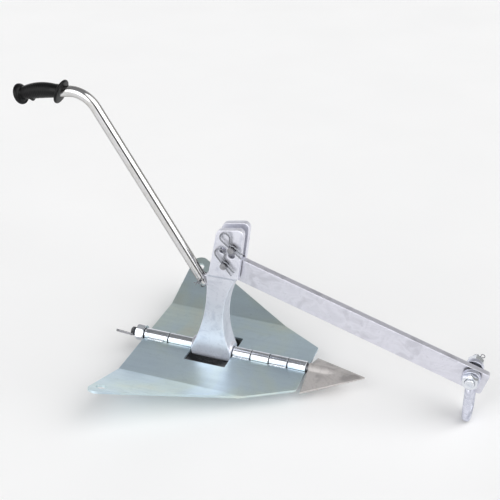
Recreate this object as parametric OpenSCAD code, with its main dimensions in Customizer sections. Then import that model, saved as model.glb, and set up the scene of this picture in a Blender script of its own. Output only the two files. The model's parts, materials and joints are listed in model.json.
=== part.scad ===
// Folding ground anchor for winching: a plow of two hinged wing plates and a cast nose,
// an upright with a forked head, a draw arm with a shackle, and a carrying handle.
// The nose points along +X, the hinge line lies along X, and +Y is the left-hand side.

/* [Hinge] */
// Outside diameter of the hinge knuckles
knuckle_d = 27; // [26:0.5:29]
// Diameter of the long hinge pin
hinge_pin_d = 20; // [18:0.5:20]
// Length of the two knuckles behind the upright
rear_knuckle_len = 57.4; // [50:0.1:60]
// Length of the four knuckles in front of the upright
front_knuckle_len = 41; // [38:0.5:44]
// Gap between neighbouring knuckles
knuckle_gap = 0.6; // [0.4:0.1:1]
// Gap between the front knuckle and the nose
nose_gap = 4; // [3:0.5:6]
// Radial clearance of a running fit
running_fit = 0.1; // [0.05:0.01:0.1]

/* [Wings] */
// Thickness of the wing plates
plate_t = 5; // [4:0.5:6]
// Height of the plates' upper face below the hinge axis
plate_drop = 1.5; // [1:0.5:2.5]
// Distance of the fold from the hinge line
fold_y = 139; // [130:1:145]
// Angle by which the outer panel is bent up
fold_angle = 18.6; // [12:0.2:20]
// Width of the plate at its rear edge, measured along the sheet
rear_width = 308; // [295:1:315]
// Width of the plate at its front edge
front_width = 83; // [76:1:88]
// Radius of the rear outer corner
rear_corner_r = 20; // [16:1:24]
// Radius of the front outer corner
front_corner_r = 4; // [2:1:6]
// Depth of the window around the foot of the upright
window_y = 58; // [50:1:64]
// Diameter of the eye in each rear corner
eye_d = 22; // [18:1:24]
// Distance of the eye in front of the rear edge
eye_x = 22; // [20:1:26]
// Distance of the eye from the hinge line, along the sheet
eye_y = 262; // [255:1:266]

/* [Nose] */
// Length of the nose
nose_len = 122; // [110:1:130]
// Half width of the nose at its rear face
nose_half_w = 67.5; // [62:0.5:72]
// Height of the nose's ridge above the hinge axis
ridge_z = 6; // [5:0.5:8]
// Angle at which the nose's two flanks fall away
flank_angle = 19.6; // [17:0.2:21]
// Thickness of the nose along its lower edges
edge_t = 3; // [2:0.5:4]
// Diameter of the barrel that holds the hinge pin
nose_barrel_d = 23; // [22:0.5:26]
// Length of that barrel
nose_barrel_len = 38; // [34:1:44]

/* [Upright] */
// Diameter of the hinge boss
boss_d = 43; // [40:0.5:44]
// Length of the hinge boss
boss_len = 92; // [90:1:92]
// Thickness of the fork across the hinge line
fork_t = 48; // [46:0.5:52]
// Width of the slot between the two ears
slot_w = 20; // [18:0.5:21]
// Height of the slot's floor above the hinge axis
slot_floor_z = 188.8; // [186:0.2:189]
// Height of the lower edge of the ears
ear_foot_z = 196; // [194:0.5:198]
// Diameter of the ears' holes
ear_hole_d = 14.6; // [14.6:0.1:15]

/* [Draw arm] */
// Height of the flat bar
arm_h = 50; // [48:0.5:50]
// Thickness of the flat bar
arm_t = 15; // [12:0.5:15]
// Downward slope of the arm
arm_slope = 17.2; // [15:0.1:17.2]
// Distance between the arm's two holes
arm_reach = 540; // [500:1:560]
// Length of bar behind the pivot hole
arm_tail = 25; // [22:0.5:26]
// Length of bar in front of the shackle's hole
arm_front = 32; // [30:0.5:36]
// Distance of the pivot hole above the bar's centre line
hole_rise = 8.5; // [6:0.5:9]
// Distance of the shackle's hole above the bar's centre line
shackle_hole_rise = 10; // [6:0.5:10]
// Diameter of the clevis pins
clevis_pin_d = 14; // [13:0.5:14]

/* [Shackle] */
// Diameter of the shackle's bolt
bolt_d = 20; // [18:0.5:20]
// Diameter of the bow's round section
bow_d = 18; // [16:0.5:19]
// Diameter of the shackle's ears
shackle_ear_d = 38; // [36:0.5:40]
// Gap between the shackle's ears
shackle_gap = 27; // [26:0.5:30]
// Thickness of each shackle ear
shackle_ear_t = 12; // [11:0.5:13]
// Distance from the bolt's axis to the outside of the crown
crown_reach = 113; // [105:1:120]
// Mean radius of the crown
crown_r = 25; // [24:0.5:26]

/* [Handle] */
// Outside diameter of the handle tube
tube_d = 22; // [20:0.5:22]
// Wall thickness of the handle tube
tube_wall = 2; // [1.5:0.1:2.5]
// Backward lean of the handle from the vertical
handle_lean = 32.4; // [30:0.2:34]
// Length of the handle from its pivot to the corner of its bend
handle_len = 455; // [420:1:470]
// Angle of the bend near the grip
bend_angle = 67.8; // [60:0.2:75]
// Centre-line radius of that bend
bend_r = 60; // [50:1:70]
// Length of the tube in front of the bend's corner, under the grip
grip_reach = 158.5; // [150:0.5:165]
// Length of the rubber grip
grip_len = 106; // [100:1:110]
// Diameter of the grip's body
grip_d = 31; // [29:0.5:33]
// Diameter of the grip's slanting flange
flange_d = 52; // [46:1:54]
// Slant of that flange
flange_slant = 34; // [25:1:38]
// Diameter of the grip's end
bulb_d = 43; // [40:1:46]

/* [Hidden] */
$fn = 96;

zinc = [0.80, 0.82, 0.86];
bright_zinc = [0.86, 0.87, 0.92];
blue_zinc = [0.62, 0.70, 0.74];
cast_grey = [0.70, 0.68, 0.68];
black_rubber = [0.07, 0.07, 0.08];

eps = 0.01;       // overlap of two pieces of one solid
loose_fit = 0.3;  // radial clearance of a pin that is easily pulled

// Places along the hinge line, from the middle of the upright's boss
boss_x = boss_len / 2;
front_x = [for (i = [0:3]) boss_x + knuckle_gap + i * (front_knuckle_len + knuckle_gap)];
rear_x = [for (i = [1:2]) -boss_x - i * (rear_knuckle_len + knuckle_gap)];
hinge_front_x = front_x[3] + front_knuckle_len;
hinge_rear_x = rear_x[1];
nose_x = hinge_front_x + nose_gap;
plate_front_x = hinge_front_x + 0.5; // just past the front knuckle
plate_rear_x = hinge_rear_x + 1;

washer_t = 2.5;
washer_d = 36;
hinge_nut_t = 18;
hinge_nut_af = 30;
thread_len = 13;
hinge_split_d = 6;
washer_x = hinge_rear_x - knuckle_gap - washer_t;
hinge_nut_x = washer_x - hinge_nut_t;
pin_end_x = hinge_nut_x - thread_len;
spigot_d = 16;
spigot_len = 34;
nose_taper_len = 34;
nose_tip_w = 2;

// Window in the plates, and the plate's inner edge beside the knuckles
window_x = boss_x + 1;
weld_gap = 0.9;
plate_inner_y = knuckle_d / 2 + weld_gap;
fold_notch = 0.1;
weld_len = 34;
weld_d = 6;
weld_out = 0.6;

// Upright: rear and front outlines are arcs, as [x, z, radius]
rear_arc = [-372.5, 174.6, 367.5];
front_arc = [237.2, 88.8, 207.2];
shank_top_x = [-4, 64];
ear_outline = [[-1, ear_foot_z], [65, ear_foot_z], [79.5, 315.5], [19.5, 304.5]];
ear_corner_r = [1, 1, 12, 14];
pivot_at = [37.2, 229.7];
stop_at = [54.3, 269.6];
spare_holes = [[33, 261], [51.5, 252.4]];

// Handle lug behind the upright
lug_at = [-24, 172];
lug_r = 8.5;
lug_t = 8;
lug_root = 20;
lug_web = [22, 13];
lug_slot_w = 9.2;
lug_slot_len = 52;
handle_pin_d = 8;
handle_pin_head = [14, 3]; // diameter and thickness
handle_pin_tail = 9;
handle_split_d = 2.8;
handle_split_turn = 37;
handle_split_y = -tube_d / 2 - 5;
tube_tail = 16;

// Bolt of the shackle, with its nut and split pin
shackle_half = shackle_gap / 2 + shackle_ear_t;
bolt_head_t = 12;
bolt_button_t = 5;
bolt_nut_t = 16;
bolt_nut_af = 30;
bolt_tail = 30;
shackle_pin_d = 3.6;
shackle_pin_turn = 45;
split_pin_y = shackle_half + bolt_nut_t + 7;

// Clevis pins and hairpin clips
pin_head_d = 22;
pin_head_t = 5;
pin_tail = 12;
clip_y = -fork_t / 2 - 6;
clip_hole_d = 4;
wire_d = 3.2;
clip_loop_r = 10.5;
clip_neck_r = 4;
wire_link = 1;
clip_dive = 55;
clip_tip_u = 26;
clip_leg_len = 17;
clip_flare = [12, 16]; // radius and angle
upper_clip_angle = 38.8;
lower_clip_angle = 51;

// Points that follow from the slopes, as [x, z]
function along(a, u, v) = [u * cos(a) + v * sin(a), -u * sin(a) + v * cos(a)];
shackle_at = pivot_at + along(arm_slope, arm_reach, shackle_hole_rise - hole_rise);
arm_corner_r = 6;
arm_mid_v = -hole_rise;
grip_dir = 90 + handle_lean + bend_angle;
bend_tangent = bend_r * tan(bend_angle / 2);
bend_corner = lug_at + handle_len * [-sin(handle_lean), cos(handle_lean)];
grip_end = bend_corner + grip_reach * [cos(grip_dir), sin(grip_dir)];

// The origin is the middle of the overall length, at the height of the shackle's crown
bulb_round = 6;
bulb_wide_r = bulb_d / 2 - bulb_round;
rear_most_x = grip_end[0] - bulb_round * (1 + cos(grip_dir)) + bulb_wide_r * sin(grip_dir);
arm_end_centre = pivot_at + along(arm_slope, arm_reach + arm_front - arm_corner_r,
                                  arm_mid_v + arm_h / 2 - arm_corner_r);
front_most_x = arm_end_centre[0] + arm_corner_r;
middle_x = (rear_most_x + front_most_x) / 2;
bottom_z = shackle_at[1] - crown_reach;

// Moves the anchor from the hinge axis to the origin
module placed() {
    translate([-middle_x, 0, -bottom_z]) children();
}

// A shape drawn in X and Z, given a thickness along Y and centred on the middle plane
module upright_extrude(t) {
    rotate([90, 0, 0]) linear_extrude(height = t, center = true) children();
}

// The directions from corner i of an outline towards the corners before and after it
function unit(v) = v / norm(v);
function before(p, i) = unit(p[(i + len(p) - 1) % len(p)] - p[i]);
function after(p, i) = unit(p[(i + 1) % len(p)] - p[i]);
function half_corner(p, i) = acos(before(p, i) * after(p, i)) / 2;

// A convex outline whose corners are rounded with the radii in r
module rounded_polygon(p, r) {
    polygon([for (i = [0:len(p) - 1], side = [before(p, i), after(p, i)])
             p[i] + side * r[i] / tan(half_corner(p, i))]);
    for (i = [0:len(p) - 1])
        translate(p[i] + unit(before(p, i) + after(p, i)) * r[i] / sin(half_corner(p, i)))
        circle(r = r[i]);
}

// A round bar along X
module bar_x(x0, x1, d) {
    translate([x0, 0, 0]) rotate([0, 90, 0]) cylinder(h = x1 - x0, d = d);
}

// A round bar along Y at a point given in X and Z
module bar_y(at, y0, y1, d) {
    translate([at[0], y1, at[1]]) rotate([90, 0, 0]) cylinder(h = y1 - y0, d = d);
}

// A barely thicker ball that joins a bend to its neighbours along X
module wire_joint(d) {
    rotate([0, 90, 0]) sphere(d = 1.02 * d);
}

// A round wire bent in the XY plane, starting along +X. Each step is a straight length, the
// radius of the bend after it and the bend's angle, which is negative for a turn to the right.
module bent_wire(steps, d, i = 0) {
    len = steps[i][0];
    r = steps[i][1];
    turn = steps[i][2];
    side = sign(turn);
    if (len > 0) rotate([0, 90, 0]) cylinder(h = len, d = d);
    if (i > 0) wire_joint(d);
    translate([len, 0, 0]) {
        if (len > 0 && i < len(steps) - 1) wire_joint(d);
        if (turn != 0) translate([0, side * r, 0]) rotate(turn > 0 ? -90 : 90 + turn)
            rotate_extrude(angle = abs(turn)) translate([r, 0]) circle(d = d);
        if (i < len(steps) - 1) translate([r * sin(abs(turn)), side * r * (1 - cos(turn)), 0])
            rotate(turn) bent_wire(steps, d, i + 1);
    }
}

// A hexagonal nut along X, centred on the X axis and turned about it
module hex_x(x0, t, af, turn = 0) {
    translate([x0, 0, 0]) rotate([0, 90, 0]) rotate(turn) cylinder(h = t, d = af / cos(30), $fn = 6);
}

// A split pin along X: an eye, a shank and two spread ends
module split_pin(len, d, spread_len) {
    eye_r = 1.1 * d;
    eye_wire_d = 0.8 * d;
    end_wire_d = 0.55 * d;
    spread = 24;
    translate([-eye_r, 0, 0]) rotate_extrude() translate([eye_r, 0]) circle(d = eye_wire_d, $fn = 32);
    rotate([0, 90, 0]) cylinder(h = len, d = d, $fn = 48);
    for (a = [-spread, spread]) translate([len - d / 2, 0, 0]) rotate([0, 90 + a, 0])
        cylinder(h = spread_len + d / 2, d = end_wire_d, $fn = 48);
}

/* ---- Upright ---- */

// The shank's side view, hollowed behind and in front by the two arcs
module shank_outline() {
    top_z = ear_foot_z + 4;
    foot_z = 30;
    difference() {
        polygon([[-boss_x, 0], [boss_x, 0], [boss_x, foot_z], [shank_top_x[1], top_z],
                 [shank_top_x[0], top_z], [-boss_x, foot_z]]);
        for (a = [rear_arc, front_arc]) translate([a[0], a[1]]) circle(r = a[2], $fn = 360);
    }
}

// A round lug on a web that grows out of the back of the shank
module handle_lug() {
    upright_extrude(lug_t) translate(lug_at) {
        circle(r = lug_r);
        polygon([[-lug_r / 4, lug_r], [lug_root, lug_web[1]], [lug_root, -lug_web[0]],
                 [-lug_r * 0.7, -lug_r * 0.7]]);
    }
}

// The ears are leaning four-sided plates with round upper corners
module upright() {
    color(bright_zinc) placed() difference() {
        union() {
            bar_x(-boss_x, boss_x, boss_d);
            upright_extrude(boss_d) shank_outline();
            upright_extrude(fork_t) rounded_polygon(ear_outline, ear_corner_r);
            handle_lug();
        }
        bar_x(-boss_x - 1, boss_x + 1, hinge_pin_d + 2 * running_fit);
        translate([-fork_t, -slot_w / 2, slot_floor_z]) cube([4 * fork_t, slot_w, 4 * fork_t]);
        for (p = concat([pivot_at, stop_at], spare_holes)) bar_y(p, -fork_t, fork_t, ear_hole_d);
        bar_y(lug_at, -fork_t, fork_t, handle_pin_d + 2 * running_fit);
    }
}

/* ---- Clevis pins and hairpin clips ---- */

module clevis_pin(at, clip_angle) {
    head_y = fork_t / 2 + loose_fit;
    tail_y = -fork_t / 2 - pin_tail;
    difference() {
        union() {
            bar_y(at, tail_y, head_y + eps, clevis_pin_d);
            bar_y(at, head_y, head_y + pin_head_t, pin_head_d);
        }
        translate([at[0], clip_y, at[1]]) rotate([0, clip_angle, 0])
            rotate([0, 90, 0]) cylinder(h = 3 * clevis_pin_d, d = clip_hole_d, center = true, $fn = 48);
    }
}

module upper_stop_pin() {
    color(zinc) placed() clevis_pin(stop_at, upper_clip_angle);
}

module lower_pivot_pin() {
    color(zinc) placed() clevis_pin(pivot_at, lower_clip_angle);
}

// The straight leg runs through the pin, the round loop is behind it, and the second leg
// dives to the neck, climbs over the pin and runs on beside the first
module hairpin_clip(at, angle) {
    over = clevis_pin_d / 2 + wire_d / 2 + 2 * loose_fit;
    climb = 90 - clip_dive;
    neck = (over + clip_neck_r) * [-sin(climb), cos(climb)] - wire_link * [cos(climb), sin(climb)];
    dive_side = [sin(clip_dive), cos(clip_dive)];
    foot = neck - (clip_neck_r + clip_loop_r) * dive_side;
    dive_len = (clip_loop_r - foot[1]) / sin(clip_dive);
    loop_u = foot[0] - dive_len * cos(clip_dive);
    translate([at[0], clip_y, at[1]]) rotate([0, angle, 0]) translate([clip_tip_u, 0, 0])
        rotate([90, 0, 0]) rotate(180)
        bent_wire([[clip_tip_u - loop_u, clip_loop_r, -180 - clip_dive], [dive_len, clip_neck_r, 90],
                   [wire_link, over, -climb], [clip_leg_len, clip_flare[0], clip_flare[1]],
                    [wire_d, 0, 0]], wire_d);
}

module upper_hairpin_clip() {
    color(zinc) placed() hairpin_clip(stop_at, upper_clip_angle);
}

module lower_hairpin_clip() {
    color(zinc) placed() hairpin_clip(pivot_at, lower_clip_angle);
}

/* ---- Nose and hinge pin ---- */

// A block that fills everything above a plane through the X axis, tilted to one side
module above_flank(side) {
    rotate([side * flank_angle, 0, 0]) translate([-10, -2 * nose_half_w, 0])
        cube([nose_len + 20, 4 * nose_half_w, 3 * nose_half_w]);
}

// A wedge with two sloping flanks and a slanting underside, and a barrel for the hinge pin
module nose() {
    rear_edge_z = ridge_z - nose_half_w * tan(flank_angle) - edge_t;
    rise = atan((ridge_z - edge_t - rear_edge_z) / nose_len);
    color(cast_grey) placed() difference() {
        union() {
            difference() {
                translate([nose_x, 0, -nose_half_w]) linear_extrude(height = 2 * nose_half_w)
                    polygon([[0, -nose_half_w], [nose_len, -nose_tip_w / 2],
                             [nose_len, nose_tip_w / 2], [0, nose_half_w]]);
                for (s = [-1, 1]) intersection() {
                    translate([nose_x, 0, ridge_z]) above_flank(s);
                    translate([nose_x - 1, s > 0 ? -2 * nose_half_w : 0, -nose_half_w])
                        cube([nose_len + 2, 2 * nose_half_w, 3 * nose_half_w]);
                }
                translate([nose_x, 0, rear_edge_z]) rotate([0, -rise, 0])
                    translate([-nose_len, -2 * nose_half_w, -2 * nose_half_w])
                    cube([3 * nose_len, 4 * nose_half_w, 2 * nose_half_w]);
            }
            bar_x(nose_x, nose_x + nose_barrel_len, nose_barrel_d);
            translate([nose_x + nose_barrel_len - eps, 0, 0]) rotate([0, 90, 0])
                cylinder(h = nose_taper_len, d1 = nose_barrel_d, d2 = ridge_z);
        }
        bar_x(nose_x - 1, nose_x + spigot_len, spigot_d);
    }
}

// The long pin is turned down to a spigot inside the nose
module hinge_pin() {
    color(zinc) placed() difference() {
        union() {
            bar_x(pin_end_x, nose_x, hinge_pin_d);
            bar_x(nose_x - eps, nose_x + spigot_len, spigot_d);
        }
        translate([hinge_nut_x - thread_len / 2, 0, 0]) rotate([90, 0, 0])
            cylinder(h = 2 * hinge_pin_d, d = hinge_split_d + 0.4, center = true, $fn = 48);
    }
}

module hinge_nut() {
    color(bright_zinc) placed() difference() {
        hex_x(hinge_nut_x, hinge_nut_t, hinge_nut_af);
        bar_x(hinge_nut_x - 1, washer_x + 1, hinge_pin_d + 2 * eps);
    }
}

module hinge_washer() {
    color(zinc) placed() difference() {
        bar_x(washer_x, washer_x + washer_t, washer_d);
        bar_x(washer_x - 1, washer_x + washer_t + 1, hinge_pin_d + 2 * running_fit);
    }
}

// A split pin across the threaded end, with its long legs bent back along the hinge line
module hinge_split_pin() {
    side_y = hinge_pin_d / 2 + 3.5;
    bend_r = 4;
    eye_r = 4.5;
    leg_len = 34;
    tilt = 4.5;
    color(zinc) placed() translate([hinge_nut_x - thread_len / 2, 0, 0]) rotate([0, tilt, 0]) {
        translate([0, side_y + eye_r, 0]) rotate([0, 90, 0]) rotate_extrude()
            translate([eye_r, 0]) circle(d = hinge_split_d / 2, $fn = 32);
        translate([0, side_y, 0]) rotate(-90)
            bent_wire([[2 * side_y - bend_r, bend_r, -90], [leg_len, 0, 0]], hinge_split_d);
    }
}

/* ---- Wings ---- */

// Flat pattern of the whole plate: along X, and outwards from the hinge line
module plate_pattern() {
    rear = plate_rear_x;
    front = plate_front_x;
    slope = atan((rear_width - front_width) / (front - rear));
    tangent = rear_corner_r / tan((90 - slope) / 2);
    corner = [rear + rear_corner_r, rear_width - tangent];
    side = [rear + tangent * cos(slope), rear_width - tangent * sin(slope)];
    difference() {
        union() {
            polygon([[rear, plate_inner_y], [front, plate_inner_y], [front, front_width - front_corner_r],
                     [front - front_corner_r, front_width], side, corner, [rear, corner[1]]]);
            translate(corner) circle(r = rear_corner_r);
            translate([front - front_corner_r, front_width - front_corner_r]) circle(r = front_corner_r);
        }
        translate([-window_x, 0]) square([2 * window_x, window_y]);
        translate([rear + eye_x, eye_y]) circle(d = eye_d);
    }
}

// A strip of the flat plate from y0 to y1, with its upper face at the height 0
module plate_strip(y0, y1) {
    span = hinge_front_x - hinge_rear_x;
    translate([0, 0, -plate_t]) linear_extrude(height = plate_t) intersection() {
        plate_pattern();
        translate([-span, y0]) square([2 * span, y1 - y0]);
    }
}

// The plate on the left-hand side, with its outer panel bent up along the fold. Both panels
// run on a little past the fold, so that they meet on the lower side too.
module left_plate() {
    lap = plate_t * tan(fold_angle / 2) - fold_notch;
    translate([0, 0, -plate_drop]) {
        plate_strip(0, fold_y + lap);
        translate([0, fold_y, 0]) rotate([fold_angle, 0, 0]) translate([0, -fold_y, 0])
            plate_strip(fold_y - lap, 2 * fold_y + rear_width);
    }
}

// A knuckle of the hinge: a tube round the hinge pin
module knuckle(x, len) {
    difference() {
        bar_x(x, x + len, knuckle_d);
        bar_x(x - 1, x + len + 1, hinge_pin_d + 2 * running_fit);
    }
}

// Weld beads along the top of a plate's edge, one beside each knuckle. The side is 1 for left.
module welds(side, xs, lens) {
    gap_y = side > 0 ? plate_inner_y : -plate_inner_y - 2 * weld_d;
    for (i = [0:2]) difference() {
        translate([xs[i] + (lens[i] - weld_len) / 2, side * (knuckle_d / 2 + weld_out), -plate_drop]) {
            bar_x(0, weld_len, weld_d);
            for (x = [0, weld_len]) translate([x, 0, 0]) wire_joint(weld_d);
        }
        bar_x(xs[i] - 1, xs[i] + lens[i] + 1, knuckle_d);
        translate([xs[i], gap_y, -plate_drop - plate_t]) cube([lens[i], 2 * weld_d, plate_t]);
    }
}

right_x = [rear_x[1], front_x[0], front_x[2]];
left_x = [rear_x[0], front_x[1], front_x[3]];
knuckle_lens = [rear_knuckle_len, front_knuckle_len, front_knuckle_len];

module right_wing_plate() {
    color(blue_zinc) placed() mirror([0, 1, 0]) left_plate();
}

module right_rear_knuckle() {
    color(zinc) placed() knuckle(right_x[0], knuckle_lens[0]);
}

module right_middle_knuckle() {
    color(zinc) placed() knuckle(right_x[1], knuckle_lens[1]);
}

module right_front_knuckle() {
    color(zinc) placed() knuckle(right_x[2], knuckle_lens[2]);
}

module right_hinge_welds() {
    color(bright_zinc) placed() welds(-1, right_x, knuckle_lens);
}

module left_wing_plate() {
    color(blue_zinc) placed() left_plate();
}

module left_rear_knuckle() {
    color(zinc) placed() knuckle(left_x[0], knuckle_lens[0]);
}

module left_middle_knuckle() {
    color(zinc) placed() knuckle(left_x[1], knuckle_lens[1]);
}

module left_front_knuckle() {
    color(zinc) placed() knuckle(left_x[2], knuckle_lens[2]);
}

module left_hinge_welds() {
    color(bright_zinc) placed() welds(1, left_x, knuckle_lens);
}

/* ---- Draw arm ---- */

// The flat bar's side view, with round corners, from its pivot hole forwards
module arm_outline() {
    x0 = -arm_tail;
    x1 = arm_reach + arm_front;
    y0 = arm_mid_v - arm_h / 2;
    r = arm_corner_r;
    translate([x0 + r, y0]) square([x1 - x0 - 2 * r, arm_h]);
    translate([x0, y0 + r]) square([x1 - x0, arm_h - 2 * r]);
    for (x = [x0 + r, x1 - r], y = [y0 + r, y0 + arm_h - r]) translate([x, y]) circle(r = r);
}

module draw_arm() {
    color(bright_zinc) placed() translate([pivot_at[0], 0, pivot_at[1]]) rotate([0, arm_slope, 0])
        upright_extrude(arm_t) difference() {
            arm_outline();
            circle(d = clevis_pin_d + 2 * running_fit);
            translate([arm_reach, shackle_hole_rise - hole_rise]) circle(d = bolt_d + 2 * running_fit);
        }
}

/* ---- Shackle ---- */

// Moves a shape from the shackle's bolt, drawn round the Y axis, to its place
module at_shackle() {
    placed() translate([shackle_at[0], 0, shackle_at[1]]) children();
}

// Two round ears with flat seats for the bolt and nut, and a bow of round bar that widens below
module shackle_bow() {
    ear_y = (shackle_gap + shackle_ear_t) / 2;
    widen_r = 30; // of the two bends that carry each leg outwards
    widen_a = acos(1 - (crown_r - ear_y) / (2 * widen_r));
    top = shackle_ear_d / 4;
    leg = crown_reach - bow_d / 2 - crown_r - top - 2 * widen_r * sin(widen_a);
    color(bright_zinc) at_shackle() difference() {
        union() {
            for (s = [-1, 1]) {
                bar_y([0, 0], s * ear_y - shackle_ear_t / 2, s * ear_y + shackle_ear_t / 2,
                      shackle_ear_d);
                translate([0, s * ear_y, -top]) sphere(d = 1.02 * bow_d);
            }
            translate([0, ear_y, -top]) rotate([0, 90, 0])
                bent_wire([[0, widen_r, widen_a], [0, widen_r, -widen_a], [leg, crown_r, -180],
                           [leg, widen_r, -widen_a], [0, widen_r, widen_a]], bow_d);
        }
        bar_y([0, 0], -shackle_gap - bow_d, shackle_gap + bow_d, bolt_d + 2 * eps);
        for (y = [-shackle_half - bow_d, shackle_half]) bar_y([0, 0], y, y + bow_d, shackle_ear_d);
    }
}

// A bolt with a hexagonal head that carries a round button, and a hole for its split pin
module shackle_bolt() {
    head_y = -shackle_half - eps;
    button_y = head_y - bolt_head_t;
    color(zinc) at_shackle() difference() {
        union() {
            bar_y([0, 0], head_y - eps, shackle_half + bolt_tail, bolt_d);
            rotate(-90) hex_x(-head_y, bolt_head_t, bolt_nut_af, 30);
            bar_y([0, 0], button_y - bolt_button_t, button_y + eps, bolt_d);
        }
        translate([0, split_pin_y, 0]) rotate([0, 90 - shackle_pin_turn, 0])
            cylinder(h = 3 * bolt_d, d = shackle_pin_d + 2 * loose_fit, center = true, $fn = 48);
    }
}

module shackle_nut() {
    color(bright_zinc) at_shackle() difference() {
        rotate(90) hex_x(shackle_half + eps, bolt_nut_t, bolt_nut_af, 30);
        bar_y([0, 0], 0, 2 * shackle_half, bolt_d + 2 * eps);
    }
}

module shackle_split_pin() {
    color(zinc) at_shackle() translate([0, split_pin_y, 0]) rotate([0, -shackle_pin_turn, 0])
        mirror([1, 0, 0]) translate([-bolt_d / 2 - 2, 0, 0]) split_pin(bolt_d + 3, shackle_pin_d, 5);
}

/* ---- Handle ---- */

// Places a shape drawn along +Z so that it follows the handle's lower stretch
module on_handle() {
    translate([lug_at[0], 0, lug_at[1]]) rotate([0, -handle_lean, 0]) children();
}

// The handle's bent round bar, which can run on past both ends. A barely thicker ball at each
// end of the bend joins the pieces.
module tube_solid(d, past = 0) {
    straight = handle_len - bend_tangent;
    grip_stretch = grip_reach - bend_tangent - bulb_round;
    joint_d = 1.01 * d;
    on_handle() {
        translate([0, 0, -tube_tail - past]) cylinder(h = tube_tail + straight + past, d = d);
        translate([-bend_r, 0, straight]) {
            rotate([90, 0, 0]) rotate_extrude(angle = bend_angle) translate([bend_r, 0]) circle(d = d);
            translate([bend_r, 0, 0]) sphere(d = joint_d);
            rotate([0, -bend_angle, 0]) translate([bend_r, 0, 0]) {
                cylinder(h = grip_stretch + past, d = d);
                sphere(d = joint_d);
            }
        }
    }
}

module handle_tube() {
    color(bright_zinc) placed() difference() {
        tube_solid(tube_d);
        tube_solid(tube_d - 2 * tube_wall, 1);
        on_handle() translate([-tube_d, -lug_slot_w / 2, -2 * tube_tail])
            cube([2 * tube_d, lug_slot_w, lug_slot_len + tube_tail]);
        bar_y(lug_at, -tube_d, tube_d, handle_pin_d + 2 * eps);
    }
}

// A swelling rubber grip with a slanting flange as a stop for the thumb and a round knob
module handle_grip() {
    flange_round = 3;
    swell_r = 420;
    color(black_rubber) placed()
        translate([bend_corner[0], 0, bend_corner[1]]) rotate([0, 90 - grip_dir, 0])
        translate([0, 0, grip_reach - grip_len]) difference() {
            union() {
                translate([0, 0, flange_round]) rotate([0, flange_slant, 0]) rotate_extrude() {
                    translate([0, -flange_round]) square([flange_d / 2 - flange_round, 2 * flange_round]);
                    translate([flange_d / 2 - flange_round, 0]) circle(r = flange_round);
                }
                rotate_extrude() {
                    square([grip_d / 2 - 2, grip_len - bulb_round]);
                    intersection() {
                        translate([grip_d / 2 - swell_r, grip_len / 2]) circle(r = swell_r, $fn = 720);
                        square([flange_d / 2, grip_len - bulb_round]);
                    }
                    translate([bulb_wide_r, grip_len - bulb_round]) circle(r = bulb_round);
                    translate([0, grip_len - 2 * bulb_round]) square([bulb_wide_r, 2 * bulb_round]);
                }
            }
            translate([0, 0, -flange_d])
                cylinder(h = flange_d + grip_len - bulb_round, d = tube_d + 2 * eps);
        }
}

module handle_pin() {
    half = tube_d / 2;
    color(zinc) placed() difference() {
        union() {
            bar_y(lug_at, -half - handle_pin_tail, half + 1, handle_pin_d);
            bar_y(lug_at, half + eps, half + 1 + handle_pin_head[1], handle_pin_head[0]);
        }
        translate([lug_at[0], handle_split_y, lug_at[1]]) rotate([0, 90 - handle_split_turn, 0])
            cylinder(h = 3 * handle_pin_d, d = handle_split_d + 2 * loose_fit, center = true, $fn = 48);
    }
}

module handle_split_pin() {
    eye_x = handle_pin_d / 2 + 3;
    color(zinc) placed() translate([lug_at[0], handle_split_y, lug_at[1]])
        rotate([0, -handle_split_turn, 0]) mirror([1, 0, 0]) translate([-eye_x, 0, 0])
        split_pin(2 * eye_x + 1, handle_split_d, 2 * handle_split_d);
}

upright();
upper_stop_pin();
lower_pivot_pin();
upper_hairpin_clip();
lower_hairpin_clip();
nose();
hinge_pin();
hinge_nut();
hinge_washer();
hinge_split_pin();
right_wing_plate();
right_rear_knuckle();
right_middle_knuckle();
right_front_knuckle();
right_hinge_welds();
left_wing_plate();
left_rear_knuckle();
left_middle_knuckle();
left_front_knuckle();
left_hinge_welds();
draw_arm();
shackle_bow();
shackle_bolt();
shackle_nut();
shackle_split_pin();
handle_tube();
handle_grip();
handle_pin();
handle_split_pin();
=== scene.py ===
import json
import math
import bmesh
import bpy
from mathutils import Matrix, Vector, noise


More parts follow.
